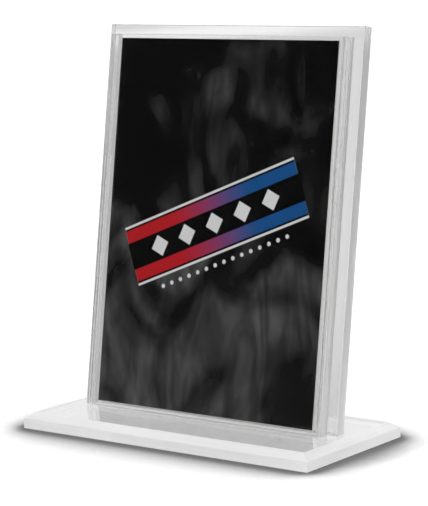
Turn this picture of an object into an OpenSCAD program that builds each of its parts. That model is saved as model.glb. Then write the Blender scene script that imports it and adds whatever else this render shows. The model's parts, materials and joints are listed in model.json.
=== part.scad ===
// Upright trading card display stand of clear cast acrylic, leaning back on a bevelled base.
// +X is the width, -Y the front, +Z up; the origin is the middle of the base's underside.
// Two plates stand on the base with a card pocket between them, open at the top:
// a thin front plate, two spacer strips down its sides, and a thicker, larger back plate.

/* [Card] */
// Width of the card
card_w = 63.5; // [50:0.5:80]
// Height of the card
card_h = 88.9; // [60:0.1:130]
// Thickness of the card
card_t = 0.35; // [0.2:0.05:0.8]

/* [Pocket] */
// Gap between the card's left edge and the left spacer strip
card_left_gap = 0.2; // [0.1:0.05:3]
// Gap between the card's right edge and the right spacer strip
card_right_gap = 1.5; // [0.1:0.05:3]
// Gap between the card's back and the back plate
card_back_gap = 0.1; // [0.05:0.05:0.4]
// Gap between the card's lowest edge and the base
card_floor_gap = 0.6; // [0.1:0.1:3]

/* [Plates] */
// Thickness of the front plate
front_t = 1.5; // [1:0.1:5]
// Thickness of the spacer strips, which is the depth of the pocket
spacer_t = 1.5; // [1.4:0.1:5]
// Width of each spacer strip
spacer_w = 1.9; // [1:0.1:10]
// Thickness of the back plate
back_t = 3; // [1:0.1:8]
// How far the front plate reaches above the card
front_rise = 0.9; // [0.2:0.1:10]
// How far the back plate stands out past the front plate on each side
back_side_margin = 2.6; // [0:0.1:12]
// How far the back plate stands above the front plate
back_top_margin = 2.6; // [0:0.1:12]
// How far the plates lean back from upright, in degrees
lean = 9; // [0:0.5:20]

/* [Base] */
// How far the base reaches past the back plate on each side
base_side_margin = 4.4; // [3.4:0.1:30]
// Depth of the base, front to back
base_d = 38.6; // [34:0.1:80]
// Thickness of the base
base_t = 3.9; // [3:0.1:12]
// Height of the bevel round the base's top edge
bevel_h = 1.4; // [0.2:0.1:2.5]
// Width of the bevel round the base's top edge
bevel_w = 2.2; // [0.2:0.1:3.2]
// Distance from the base's front edge to the foot of the front plate
panel_setback = 15.3; // [6:0.1:18]

/* [Hidden] */
pocket_w = card_left_gap + card_w + card_right_gap;
front_w = pocket_w + 2 * spacer_w;
back_w = front_w + 2 * back_side_margin;
base_w = back_w + 2 * base_side_margin;
// Depths behind the front plate's face, square to the plates
pocket_front = front_t;
pocket_back = front_t + spacer_t;
back_face = pocket_back + back_t;
card_back = pocket_back - card_back_gap;
card_face = card_back - card_t;
// Heights along the plates, from where the front plate's face meets the base
card_foot = card_back * tan(lean) + card_floor_gap / cos(lean);
front_top = card_foot + card_h + front_rise;
back_top = front_top + back_top_margin;
// Middle of the card across the width
card_middle = card_left_gap + card_w / 2 - pocket_w / 2;
clear = [0.86, 0.93, 0.96, 0.35];
ink = [0.09, 0.09, 0.1];

// The point [y, z] a height up the plates and a depth back into them
function on_plate(height, depth) = [
    panel_setback - base_d / 2 + height * sin(lean) + depth * cos(lean),
    base_t + height * cos(lean) - depth * sin(lean)
];

// A profile in the Y-Z plane drawn out to a width along X
module across(width, points) {
    rotate([90, 0, 90])
        linear_extrude(width, center = true)
            polygon(points);
}

// A plate between two depths, cut level at the foot so that it stands flat on the base
module standing_plate(width, top, near, far) {
    across(width, [
        on_plate(near * tan(lean), near),
        on_plate(far * tan(lean), far),
        on_plate(top, far),
        on_plate(top, near)
    ]);
}

// The base's outline in one direction: upright sides with a bevel above them
function bevelled(size) = [
    [-size / 2, 0],
    [size / 2, 0],
    [size / 2, base_t - bevel_h],
    [size / 2 - bevel_w, base_t],
    [bevel_w - size / 2, base_t],
    [-size / 2, base_t - bevel_h]
];

// One slab with all four top edges bevelled, the corners mitred
module base() {
    color(clear)
        intersection() {
            across(base_w, bevelled(base_d));
            rotate([90, 0, 0])
                linear_extrude(base_d, center = true)
                    polygon(bevelled(base_w));
        }
}

// The thick plate behind the pocket, wider and taller than the front plate
module back_plate() {
    color(clear)
        standing_plate(back_w, back_top, pocket_back, back_face);
}

// The thin plate that covers the card
module front_plate() {
    color(clear)
        standing_plate(front_w, front_top, 0, pocket_front);
}

// A strip that holds the two plates apart beside the card
module spacer(side) {
    color(clear)
        translate([side * (front_w - spacer_w) / 2, 0, 0])
            standing_plate(spacer_w, front_top, pocket_front, pocket_back);
}

module left_spacer() {
    spacer(-1);
}

module right_spacer() {
    spacer(1);
}

// The card, square at its corners and loose in the pocket
module card() {
    color(ink)
        translate([card_middle, 0, 0])
            across(card_w, [
                on_plate(card_foot, card_face),
                on_plate(card_foot, card_back),
                on_plate(card_foot + card_h, card_back),
                on_plate(card_foot + card_h, card_face)
            ]);
}

base();
back_plate();
front_plate();
left_spacer();
right_spacer();
card();
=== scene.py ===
"""The looks of a clear acrylic trading card stand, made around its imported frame."""
import json
import math

import bmesh
import bpy
from mathutils import Matrix, Vector


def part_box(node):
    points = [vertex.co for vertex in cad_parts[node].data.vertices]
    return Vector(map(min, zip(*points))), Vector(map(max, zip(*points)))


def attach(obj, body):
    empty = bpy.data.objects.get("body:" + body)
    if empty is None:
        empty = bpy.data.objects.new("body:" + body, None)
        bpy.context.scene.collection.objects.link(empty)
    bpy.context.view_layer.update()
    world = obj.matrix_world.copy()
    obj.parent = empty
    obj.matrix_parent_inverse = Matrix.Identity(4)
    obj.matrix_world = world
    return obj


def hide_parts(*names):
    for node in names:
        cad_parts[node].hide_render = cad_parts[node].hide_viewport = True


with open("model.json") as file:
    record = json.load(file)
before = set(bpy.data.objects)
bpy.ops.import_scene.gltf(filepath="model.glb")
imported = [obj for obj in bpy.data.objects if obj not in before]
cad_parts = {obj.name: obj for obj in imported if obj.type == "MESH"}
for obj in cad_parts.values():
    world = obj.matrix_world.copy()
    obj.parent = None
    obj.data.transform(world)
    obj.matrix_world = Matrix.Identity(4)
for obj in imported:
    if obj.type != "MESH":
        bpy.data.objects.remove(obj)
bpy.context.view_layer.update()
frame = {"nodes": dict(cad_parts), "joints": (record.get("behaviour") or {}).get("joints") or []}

MM = 0.001
PER_MM = 1 / MM

# The plates' own directions: across them, up along them, and back through them. They lean, so down
# is the room's own
ACROSS = Vector((1, 0, 0))
UP = Vector(frame["joints"][0]["axis"]).normalized()
BACK = Vector((0, UP.z, -UP.y))
DOWN = Vector((0, 0, -1))

# The photograph's camera: the point it looks at, its distance and its angles, then the picture's
# height and the lens in pixels, and the sensor's height in millimetres
LOOK_AT = Vector((2.95, 0, 43.36)) * MM
CAMERA_DISTANCE = 501.6 * MM
AZIMUTH = math.radians(37.07)
PITCH = math.radians(8.68)
ROLL = math.radians(1.5)
PHOTO_HEIGHT = 506
FOCAL_PIXELS = 2148
SENSOR = 36

# How the pieces were worked: faces polished back a little, cemented faces run into what they are
# cemented to so that the seam stays clear, and all edges rounded
POLISHED_BACK = 0.02 * MM
CEMENTED_IN = 0.05 * MM
EDGE_ROUND = 0.18 * MM
CARD_ROUND = 0.03 * MM
ROUND_STEPS = 2

# Mesh points this close are one, faces within this angle are one, and a face looks squarely some
# way where its normal is this much along it
WELD = 1e-6
FLAT_WITHIN = math.radians(1)
SQUARE_ON = 0.99

# Thickness of the acrylic sheet, in millimetres
FRONT_SHEET = 1.5
BACK_SHEET = 3.0
BASE_SHEET = 3.9

# The milky edges of the acrylic: how clear they are, how rough at the stand's foot and at its top,
# and by how much that varies from streak to streak
STAND_HEIGHT = 95.7 * MM
ACRYLIC_IOR = 1.49
PLATE_CLEARNESS = 0.76
BASE_CLEARNESS = 0.6
PLATE_EDGE_ROUGH = (0.8, 0.3)
PLATE_CORNER_ROUGH = (0.7, 0.05)
BASE_EDGE_ROUGH = (0.42, 0.42)
UNEVENNESS = 0.2

# Sizes of the materials' patterns, in millimetres. Real tool marks, the grain of a gloss coat and
# paper fibres are finer, and are drawn as coarse as they need to be to show
SHEET_WAVE = 14
SHEET_SMEAR = 6
TOOL_STREAK = 0.5
COAT_GRAIN = 0.6
PAPER_FIBRE = 0.35

# The tool streaks' factor each way, where a small one draws them out, how deep the patterns are,
# and how light the darkest fibres of bare card are beside the rest
UPRIGHT_STREAKS = (1, 1, 0.04)
LEVEL_STREAKS = (0.04, 0.04, 1)
WAVE_DEPTH = 0.4 * MM
FINE_RELIEF = 0.02 * MM
DARK_FIBRES = 0.9

# Colours, as sRGB
ACRYLIC_PER_MM = "#FAFAFA"
ACRYLIC_SATIN = "#FFFFFF"
ACRYLIC_SCUFFED = "#F3F3F3"
LAMP_THROUGH_ACRYLIC = "#F6F6F6"
INK_BLACK = "#0B0B0B"
SMOKE_GREY = "#686868"
RIBBON_RED = "#C8252C"
RIBBON_BLUE = "#1F5C9C"
RIBBON_WHITE = "#F6F6F6"
BARE_CARD = "#F3F1EB"
CARD_CORE = "#D9D5CC"
FLOOR_PAPER = "#D0D0D0"
FLOOR_BOUNCE = "#F0F0F0"
REFLECTOR_BOARD = "#EEEEEE"
STUDIO_LIGHT = "#F6F6F6"
BLACK_FLAG = "#141414"
# White of the background, also used as the colour of the floor's painted glow
BACKGROUND_AND_PAINTED_GLOW = "#FFFFFF"

# The floor: how white it shows to the camera, its size, how far and how deep the painted contact
# shadow under the stand reaches, and how much a painted glow brightens it close to the stand where
# it is seen mirrored or through acrylic
FLOOR_GAIN = 1.02
FLOOR_RADIUS = 5
FLOOR_CORNERS = 128
CONTACT_REACH = 17 * MM
CONTACT_DEPTH = 17
CONTACT_DARKEST = 0.16
CONTACT_SAMPLES = 32
PAINTED_GLOW_NEAR_STAND = 0.42

# The long white reflector on the floor far behind, which shows through the top of the back plate:
# its middle, how much longer it is than wide, and how far from the middle it is full and ends
BOARD_MIDDLE = (-1.16, 1.5, 0.0)
BOARD_LONGER = 3
BOARD_FULL = 0.03
BOARD_END = 0.21

# The black flag that the front plate mirrors: where it lies, and where it is full and where it ends
FLAG_TOWARD = (-0.6, -0.8, 0.08)
FLAG_FULL = math.radians(9)
FLAG_END = math.radians(22)

# The smoke printed on the card, in millimetres: how large its swirls are across and up the card,
# which slice of the noise it is, and between which heights it thins out, and by how much
SMOKE_WIDE = 21
SMOKE_TALL = 34
SMOKE_SLICE = 7.6
SMOKE_THINS_FROM = -6.0
SMOKE_THINS_TO = 40.0
SMOKE_THINNED_BY = 0.15

# The ribbon printed across the card, in millimetres from the card's middle
RIBBON_TILT = math.radians(22)
RIBBON_HEIGHT = 1.0
RIBBON_CORE = 3.3
RIBBON_BAND = 3.0
RIBBON_LINE = 0.55
RIBBON_GAP = 0.5
RIBBON_LENGTH = 26.0
DIAMONDS = 5
DIAMOND_PITCH = 8.5
DIAMOND_SIZE = 2.6
DOTS = 15
DOT_PITCH = 2.7
DOT_SIZE = 0.5
DOT_DROP = 9.6
PRINT_SOFTNESS = 0.12


def linear(code):
    """An sRGB hex colour as linear red, green and blue with alpha."""
    parts = [int(code[i:i + 2], 16) / 255 for i in (1, 3, 5)]
    return [p / 12.92 if p <= 0.04045 else ((p + 0.055) / 1.055) ** 2.4 for p in parts] + [1]


def add(tree, kind, inputs=(), out=0, **settings):
    """Adds a node with its settings, gives each input a value or a link, and returns one output.

    Inputs and outputs that share a name go by number: a Mix of colours has its share at 0, its
    colours at 6 and 7, and its result at 2.
    """
    node = tree.nodes.new("ShaderNode" + kind)
    for name, value in settings.items():
        setattr(node, name, value)
    for key, value in dict(inputs).items():
        if isinstance(value, bpy.types.NodeSocket):
            tree.links.new(value, node.inputs[key])
        else:
            node.inputs[key].default_value = value
    return node.outputs[out] if len(node.outputs) else None


def new_material(name):
    """An empty node material and its tree."""
    material = bpy.data.materials.new(name)
    material.use_nodes = True
    material.node_tree.nodes.clear()
    return material, material.node_tree


def let_lamps_through(tree, acrylic):
    """Ends an acrylic material so that lamps shine through the sheet and it throws a paler shadow."""
    lamp_ray = add(tree, "LightPath", out="Is Shadow Ray")
    dimmed = add(tree, "BsdfTransparent", {"Color": linear(LAMP_THROUGH_ACRYLIC)})
    mixed = add(tree, "MixShader", {0: lamp_ray, 1: acrylic, 2: dimmed})
    add(tree, "OutputMaterial", {"Surface": mixed})


def cast_acrylic_face(thickness):
    """Cast acrylic sheet: clear, with a faint long wave, and a little greyer the thicker it is."""
    material, tree = new_material("cast_acrylic_%dum_face" % (thickness * 1000))
    place = add(tree, "TexCoord", out="Object")
    wave = add(tree, "TexNoise", {"Vector": place, "Scale": PER_MM / SHEET_WAVE, "Detail": 1.0})
    bump = add(tree, "Bump", {"Height": wave, "Strength": 0.02, "Distance": WAVE_DEPTH})
    smear = add(tree, "TexNoise", {"Vector": place, "Scale": PER_MM / SHEET_SMEAR, "Detail": 3.0})
    rough = add(tree, "MapRange", {
        "Value": smear,
        "From Min": 0.45,
        "From Max": 0.75,
        "To Min": 0.0,
        "To Max": 0.03,
    })
    acrylic = add(tree, "BsdfPrincipled", {
        "Base Color": [part ** thickness for part in linear(ACRYLIC_PER_MM)],
        "Roughness": rough,
        "IOR": ACRYLIC_IOR,
        "Transmission Weight": 1.0,
        "Normal": bump,
    })
    let_lamps_through(tree, acrylic)
    return material


def scraped_acrylic(name, drawn, clearness, foot_rough, top_rough):
    """Sawn and scraped acrylic: milky, with fine tool streaks along it, clearer where less rough."""
    material, tree = new_material(name)
    place = add(tree, "TexCoord", out="Object")
    drawn_out = add(tree, "VectorMath", {0: place, 1: drawn}, operation="MULTIPLY")
    streaks = add(tree, "TexNoise", {
        "Vector": drawn_out,
        "Scale": PER_MM / TOOL_STREAK,
        "Detail": 2.0,
    })
    bump = add(tree, "Bump", {"Height": streaks, "Strength": 0.12, "Distance": FINE_RELIEF})
    scraped = add(tree, "MapRange", {
        "Value": add(tree, "SeparateXYZ", {0: place}, out="Z"),
        "From Min": 0.0,
        "From Max": STAND_HEIGHT,
        "To Min": foot_rough,
        "To Max": top_rough,
    })
    share = add(tree, "MapRange", {"Value": streaks, "From Min": 0.3, "From Max": 0.7})
    uneven = add(tree, "MapRange", {
        "Value": share,
        "To Min": 1 - UNEVENNESS,
        "To Max": 1 + UNEVENNESS,
    })
    colour = add(tree, "Mix", {
        0: share,
        6: linear(ACRYLIC_SCUFFED),
        7: linear(ACRYLIC_SATIN),
    }, out=2, data_type="RGBA")
    acrylic = add(tree, "BsdfPrincipled", {
        "Base Color": colour,
        "Roughness": add(tree, "Math", {0: scraped, 1: uneven}, operation="MULTIPLY"),
        "IOR": ACRYLIC_IOR,
        "Transmission Weight": clearness,
        "Normal": bump,
    })
    let_lamps_through(tree, acrylic)
    return material


def on_card(tree, height, *ways):
    """Millimetres along each way, from a height in millimetres above the card's middle."""
    low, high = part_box("card")
    start = (Vector(low) + Vector(high)) / 2 + UP * height * MM
    place = add(tree, "TexCoord", out="Object")
    from_start = add(tree, "VectorMath", {0: place, 1: start}, operation="SUBTRACT")
    return [
        add(tree, "VectorMath", {0: from_start, 1: way * PER_MM}, out="Value", operation="DOT_PRODUCT")
        for way in ways
    ]


def smoke(tree):
    """How thick the printed smoke is, as two shares: swirls that thin out upwards, and folds."""
    across, up = on_card(tree, 0, ACROSS, UP)
    spot = add(tree, "CombineXYZ", {0: across, 1: up, 2: SMOKE_SLICE})
    drift = add(tree, "VectorMath", {
        0: spot,
        1: (1 / SMOKE_WIDE, 1 / SMOKE_TALL, 1),
    }, operation="MULTIPLY")
    swirl = add(tree, "TexNoise", {
        "Vector": drift,
        "Scale": 1.0,
        "Detail": 3.0,
        "Roughness": 0.42,
        "Distortion": 1.5,
    })
    fold = add(tree, "TexNoise", {
        "Vector": add(tree, "VectorMath", {0: drift, 1: (2.1, 0.9, 1.0)}, operation="MULTIPLY"),
        "Scale": 1.0,
        "Detail": 2.0,
        "Distortion": 2.4,
    })
    thinning = add(tree, "MapRange", {
        "Value": up,
        "From Min": SMOKE_THINS_FROM,
        "From Max": SMOKE_THINS_TO,
        "To Min": 0.0,
        "To Max": -SMOKE_THINNED_BY,
    })
    thick = add(tree, "MapRange", {
        "Value": add(tree, "Math", {0: swirl, 1: thinning}, operation="ADD"),
        "From Min": 0.34,
        "From Max": 0.74,
    }, interpolation_type="SMOOTHSTEP")
    wisp = add(tree, "MapRange", {
        "Value": fold,
        "From Min": 0.4,
        "From Max": 0.65,
        "To Min": 0.45,
        "To Max": 1.0,
    })
    return thick, wisp


def printed_colour(tree):
    """The card's inks: smoke on near black, under a ribbon, white diamonds and small dots."""
    along, off_line = on_card(
        tree,
        RIBBON_HEIGHT,
        ACROSS * math.cos(RIBBON_TILT) + UP * math.sin(RIBBON_TILT),
        UP * math.cos(RIBBON_TILT) - ACROSS * math.sin(RIBBON_TILT),
    )
    from_middle = add(tree, "Math", {0: along}, operation="ABSOLUTE")
    off = add(tree, "Math", {0: off_line}, operation="ABSOLUTE")

    def within(value, limit):
        """1 where the value is under a limit in millimetres, with a soft printed edge."""
        return add(tree, "MapRange", {
            "Value": value,
            "From Min": limit - PRINT_SOFTNESS,
            "From Max": limit + PRINT_SOFTNESS,
            "To Min": 1.0,
            "To Max": 0.0,
        }, interpolation_type="SMOOTHSTEP")

    def from_nearest(pitch):
        """The distance along the ribbon from the nearest of a row of marks."""
        past = add(tree, "Math", {0: along, 1: pitch / 2, 2: -pitch / 2}, operation="WRAP")
        return add(tree, "Math", {0: past}, operation="ABSOLUTE")

    fade = add(tree, "MapRange", {
        "Value": along,
        "From Min": -RIBBON_LENGTH / 2,
        "From Max": RIBBON_LENGTH / 2,
    }, interpolation_type="SMOOTHSTEP")
    band = add(tree, "Mix", {
        0: fade,
        6: linear(RIBBON_RED),
        7: linear(RIBBON_BLUE),
    }, out=2, data_type="RGBA")
    to_diamond = add(tree, "Math", {0: from_nearest(DIAMOND_PITCH), 1: off}, operation="ADD")
    below = add(tree, "Math", {0: off_line, 1: DOT_DROP}, operation="ADD")
    from_dot = add(tree, "VectorMath", {
        0: add(tree, "CombineXYZ", {0: from_nearest(DOT_PITCH), 1: below}),
    }, out="Value", operation="LENGTH")

    # The ribbon is a black core between two coloured bands, with a white line outside each. The core
    # ends a little further out, so that no band shows past it
    band_edge = RIBBON_CORE + RIBBON_BAND
    line_edge = band_edge + RIBBON_GAP
    reach = within(from_middle, RIBBON_LENGTH)
    past_reach = within(from_middle, RIBBON_LENGTH + 2 * PRINT_SOFTNESS)
    diamond_row = within(from_middle, DIAMOND_PITCH * DIAMONDS / 2)
    dot_row = within(from_middle, DOT_PITCH * DOTS / 2)
    black = linear(INK_BLACK)
    white = linear(RIBBON_WHITE)

    # Each ink covers the ones before it. Its two shares multiplied say where it lies
    colour = black
    for share, other_share, ink in (
        (*smoke(tree), linear(SMOKE_GREY)),
        (within(off, line_edge + RIBBON_LINE), reach, white),
        (within(off, line_edge), reach, black),
        (within(off, band_edge), reach, band),
        (within(off, RIBBON_CORE), past_reach, black),
        (within(to_diamond, DIAMOND_SIZE), diamond_row, white),
        (within(from_dot, DOT_SIZE), dot_row, white),
    ):
        covered = add(tree, "Math", {0: share, 1: other_share}, operation="MULTIPLY")
        colour = add(tree, "Mix", {0: covered, 6: colour, 7: ink}, out=2, data_type="RGBA")
    return colour


def printed_card_front():
    """Offset printed card: solid inks under a gloss coat that has a faint grain."""
    material, tree = new_material("printed_card_front")
    place = add(tree, "TexCoord", out="Object")
    grain = add(tree, "TexNoise", {"Vector": place, "Scale": PER_MM / COAT_GRAIN, "Detail": 2.0})
    bump = add(tree, "Bump", {"Height": grain, "Strength": 0.04, "Distance": FINE_RELIEF})
    coated = add(tree, "BsdfPrincipled", {
        "Base Color": printed_colour(tree),
        "Roughness": add(tree, "MapRange", {"Value": grain, "To Min": 0.12, "To Max": 0.2}),
        "IOR": 1.45,
        "Normal": bump,
    })
    add(tree, "OutputMaterial", {"Surface": coated})
    return material


def bare_card(name, code):
    """Uncoated card stock: matt and off-white, with a faint felt of fibres."""
    material, tree = new_material(name)
    place = add(tree, "TexCoord", out="Object")
    fibres = add(tree, "TexNoise", {"Vector": place, "Scale": PER_MM / PAPER_FIBRE, "Detail": 4.0})
    tone = add(tree, "MapRange", {"Value": fibres, "From Min": 0.3, "From Max": 0.7})
    darker = [part * DARK_FIBRES for part in linear(code)[:3]] + [1]
    colour = add(tree, "Mix", {0: tone, 6: darker, 7: linear(code)}, out=2, data_type="RGBA")
    bump = add(tree, "Bump", {"Height": fibres, "Strength": 0.2, "Distance": FINE_RELIEF})
    board = add(tree, "BsdfPrincipled", {
        "Base Color": colour,
        "Roughness": 0.85,
        "IOR": 1.5,
        "Normal": bump,
    })
    add(tree, "OutputMaterial", {"Surface": board})
    return material


def looks_toward(normal, way):
    """Whether a face looks squarely some way."""
    return normal.dot(way) > SQUARE_ON


def nowhere(normal):
    """No face is cemented."""
    return False


def worked_copy(node, name, body, rounding, finishes, finish_of, rounded, cemented=nowhere):
    """A CAD solid as a worked piece: polished or cemented, finished by face, its edges rounded.

    finishes are its materials. finish_of gives a face's place among them, and rounded the edges'.
    """
    mesh = bmesh.new()
    mesh.from_mesh(frame["nodes"][node].data)
    bmesh.ops.remove_doubles(mesh, verts=mesh.verts, dist=WELD)
    bmesh.ops.dissolve_limit(mesh, angle_limit=FLAT_WITHIN, verts=mesh.verts, edges=mesh.edges)
    bmesh.ops.recalc_face_normals(mesh, faces=mesh.faces)
    mesh.normal_update()
    moves = {}
    for vert in mesh.verts:
        moves[vert] = Vector()
        for face in vert.link_faces:
            moves[vert] += face.normal * (CEMENTED_IN if cemented(face.normal) else -POLISHED_BACK)
    for vert, move in moves.items():
        vert.co += move
    for face in mesh.faces:
        face.material_index = finish_of(face.normal)
    bmesh.ops.bevel(
        mesh,
        geom=mesh.edges[:],
        offset=rounding,
        segments=ROUND_STEPS,
        profile=0.5,
        affect="EDGES",
        material=rounded,
    )
    data = bpy.data.meshes.new(name)
    mesh.to_mesh(data)
    mesh.free()
    for finish in finishes:
        data.materials.append(finish)
    piece = bpy.data.objects.new(name, data)
    bpy.context.scene.collection.objects.link(piece)
    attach(piece, body)
    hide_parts(node)


def make_base():
    """The slab that the plates stand on, clear above and below and milky all round."""
    finishes = [
        cast_acrylic_face(BASE_SHEET),
        scraped_acrylic("satin_base_edge", LEVEL_STREAKS, BASE_CLEARNESS, *BASE_EDGE_ROUGH),
    ]

    def finish_of(normal):
        return 0 if looks_toward(normal, DOWN) or looks_toward(normal, -DOWN) else 1

    worked_copy("base", "bevelled_base", "stand", EDGE_ROUND, finishes, finish_of, 1)


def make_plates():
    """The two plates and the two strips between them, cemented to each other and to the base."""
    edge = scraped_acrylic("satin_plate_edge", UPRIGHT_STREAKS, PLATE_CLEARNESS, *PLATE_EDGE_ROUGH)
    corner = scraped_acrylic(
        "scraped_plate_corner", UPRIGHT_STREAKS, PLATE_CLEARNESS, *PLATE_CORNER_ROUGH)
    front_face = cast_acrylic_face(FRONT_SHEET)
    back_face = cast_acrylic_face(BACK_SHEET)

    def finish_of(normal):
        return 0 if looks_toward(normal, BACK) or looks_toward(normal, -BACK) else 1

    def foot(normal):
        return looks_toward(normal, DOWN)

    def foot_or_back(normal):
        return foot(normal) or looks_toward(normal, BACK)

    for node, name, face, cemented in (
        ("back_plate", "rear_acrylic_plate", back_face, foot),
        ("front_plate", "front_acrylic_plate", front_face, foot_or_back),
        ("left_spacer", "left_spacer_strip", front_face, foot_or_back),
        ("right_spacer", "right_spacer_strip", front_face, foot_or_back),
    ):
        finishes = [face, edge, corner]
        worked_copy(node, name, "stand", EDGE_ROUND, finishes, finish_of, 2, cemented)


def make_card():
    """The loose card, printed in front, bare behind and cut at its edges."""
    finishes = [
        printed_card_front(),
        bare_card("bare_card_back", BARE_CARD),
        bare_card("cut_card_edge", CARD_CORE),
    ]

    def finish_of(normal):
        return 0 if looks_toward(normal, -BACK) else 1 if looks_toward(normal, BACK) else 2

    worked_copy("card", "printed_card", "card", CARD_ROUND, finishes, finish_of, 2)


def make_camera():
    """The photograph's view."""
    right = Vector((math.cos(AZIMUTH), math.sin(AZIMUTH), 0))
    forward = Vector((
        -math.sin(AZIMUTH) * math.cos(PITCH),
        math.cos(AZIMUTH) * math.cos(PITCH),
        -math.sin(PITCH),
    ))
    down = forward.cross(right)
    turned_right = right * math.cos(ROLL) + down * math.sin(ROLL)
    turned_down = down * math.cos(ROLL) - right * math.sin(ROLL)
    turn = Matrix((turned_right, -turned_down, -forward)).transposed()
    camera = bpy.data.cameras.new("camera")
    camera.sensor_fit = "VERTICAL"
    camera.sensor_height = SENSOR
    camera.lens = FOCAL_PIXELS / PHOTO_HEIGHT * SENSOR
    camera.clip_start = 1 * MM
    holder = bpy.data.objects.new("camera", camera)
    holder.matrix_world = Matrix.Translation(LOOK_AT - forward * CAMERA_DISTANCE) @ turn.to_4x4()
    bpy.context.scene.collection.objects.link(holder)
    bpy.context.scene.camera = holder


def pale_paper_floor():
    """Matt paper: white where it is open, with a painted contact shadow where the stand closes it in.

    The clear stand lets the lamps through and throws little shadow, so its contact shadow is painted
    here from ambient occlusion. Mirrored or seen through acrylic, the paper is grey, and a painted
    emission makes it brighter close to the stand.
    """
    material, tree = new_material("pale_paper_floor")
    # Painted contact shadow: ambient occlusion darkens the paper's colour for the camera under and
    # beside the stand
    open_sky = add(tree, "AmbientOcclusion", {
        "Distance": CONTACT_REACH,
    }, out="AO", samples=CONTACT_SAMPLES)
    contact = add(tree, "Math", {0: open_sky, 1: CONTACT_DEPTH}, operation="POWER")
    white = add(tree, "MapRange", {"Value": contact, "To Min": CONTACT_DARKEST, "To Max": FLOOR_GAIN})
    painted_shade_colour = add(tree, "CombineColor", {0: white, 1: white, 2: white})

    on_board = add(tree, "VectorMath", {
        0: add(tree, "TexCoord", out="Object"),
        1: BOARD_MIDDLE,
    }, operation="SUBTRACT")
    drawn_in = add(tree, "VectorMath", {0: on_board, 1: (1, 1 / BOARD_LONGER, 1)}, operation="MULTIPLY")
    board = add(tree, "MapRange", {
        "Value": add(tree, "VectorMath", {0: drawn_in}, out="Value", operation="LENGTH"),
        "From Min": BOARD_FULL,
        "From Max": BOARD_END,
        "To Min": 1.0,
        "To Max": 0.0,
    }, interpolation_type="SMOOTHSTEP")

    # The reflector lies on the paper. Diffuse rays then see white paper in place of both, and the
    # camera sees the white paper with its painted contact shadow
    colour = linear(FLOOR_PAPER)
    for share, seen_as in (
        (board, linear(REFLECTOR_BOARD)),
        (add(tree, "LightPath", out="Is Diffuse Ray"), linear(FLOOR_BOUNCE)),
        (add(tree, "LightPath", out="Is Camera Ray"), painted_shade_colour),
    ):
        colour = add(tree, "Mix", {0: share, 6: colour, 7: seen_as}, out=2, data_type="RGBA")
    paper = add(tree, "BsdfDiffuse", {"Color": colour})

    # Painted glow: where the stand closes the paper in, rays that see it mirrored or through acrylic
    # get extra emitted light
    mirrored = add(tree, "LightPath", out="Is Glossy Ray")
    seen_through = add(tree, "LightPath", out="Is Transmission Ray")
    either = add(tree, "Math", {0: mirrored, 1: seen_through}, operation="MAXIMUM")
    closed_in = add(tree, "MapRange", {"Value": open_sky, "To Min": PAINTED_GLOW_NEAR_STAND, "To Max": 0.0})
    painted_glow_strength = add(tree, "Math", {0: either, 1: closed_in}, operation="MULTIPLY")
    glow = add(tree, "Emission", {"Color": linear(BACKGROUND_AND_PAINTED_GLOW), "Strength": painted_glow_strength})
    add(tree, "OutputMaterial", {"Surface": add(tree, "AddShader", {0: paper, 1: glow})})
    return material


def make_floor():
    """The round of paper that the stand rests on."""
    mesh = bmesh.new()
    bmesh.ops.create_circle(mesh, cap_ends=True, segments=FLOOR_CORNERS, radius=FLOOR_RADIUS)
    data = bpy.data.meshes.new("floor")
    mesh.to_mesh(data)
    mesh.free()
    data.materials.append(pale_paper_floor())
    floor = bpy.data.objects.new("floor", data)
    bpy.context.scene.collection.objects.link(floor)


def make_studio():
    """Soft light from all round, with a black flag where the front plate mirrors the room."""
    world = bpy.data.worlds.new("studio")
    world.use_nodes = True
    tree = world.node_tree
    tree.nodes.clear()
    near_flag = add(tree, "VectorMath", {
        0: add(tree, "TexCoord", out="Generated"),
        1: Vector(FLAG_TOWARD).normalized(),
    }, out="Value", operation="DOT_PRODUCT")
    flag = add(tree, "MapRange", {
        "Value": near_flag,
        "From Min": math.cos(FLAG_END),
        "From Max": math.cos(FLAG_FULL),
    }, interpolation_type="SMOOTHSTEP")
    colour = linear(STUDIO_LIGHT)
    for share, shown in (
        (flag, linear(BLACK_FLAG)),
        (add(tree, "LightPath", out="Is Camera Ray"), linear(BACKGROUND_AND_PAINTED_GLOW)),
    ):
        colour = add(tree, "Mix", {0: share, 6: colour, 7: shown}, out=2, data_type="RGBA")
    light = add(tree, "Background", {"Color": colour, "Strength": 1.0})
    add(tree, "OutputWorld", {"Surface": light})
    bpy.context.scene.world = world


def lamp(name, toward, strength, softness):
    """A distant soft lamp: the direction in which it lies, its strength, its width in degrees."""
    light = bpy.data.lights.new(name, "SUN")
    light.energy = strength
    light.angle = math.radians(softness)
    holder = bpy.data.objects.new(name, light)
    holder.rotation_euler = Vector(toward).to_track_quat("Z", "Y").to_euler()
    bpy.context.scene.collection.objects.link(holder)


make_camera()
make_base()
make_plates()
make_card()
make_floor()
make_studio()
lamp("softbox_left", toward=(-0.7, 0.1, 0.9), strength=0.6, softness=60)
lamp("softbox_front", toward=(0.7, -1.0, 1.0), strength=0.7, softness=40)
lamp("softbox_back", toward=(0.3, 1.0, 0.9), strength=0.5, softness=60)

# Light meets many faces of acrylic before it leaves the stand, so it may bounce often
scene = bpy.context.scene
scene.view_settings.view_transform = "Standard"
scene.cycles.max_bounces = 32
scene.cycles.transmission_bounces = 32
scene.cycles.glossy_bounces = 16
scene.cycles.transparent_max_bounces = 32
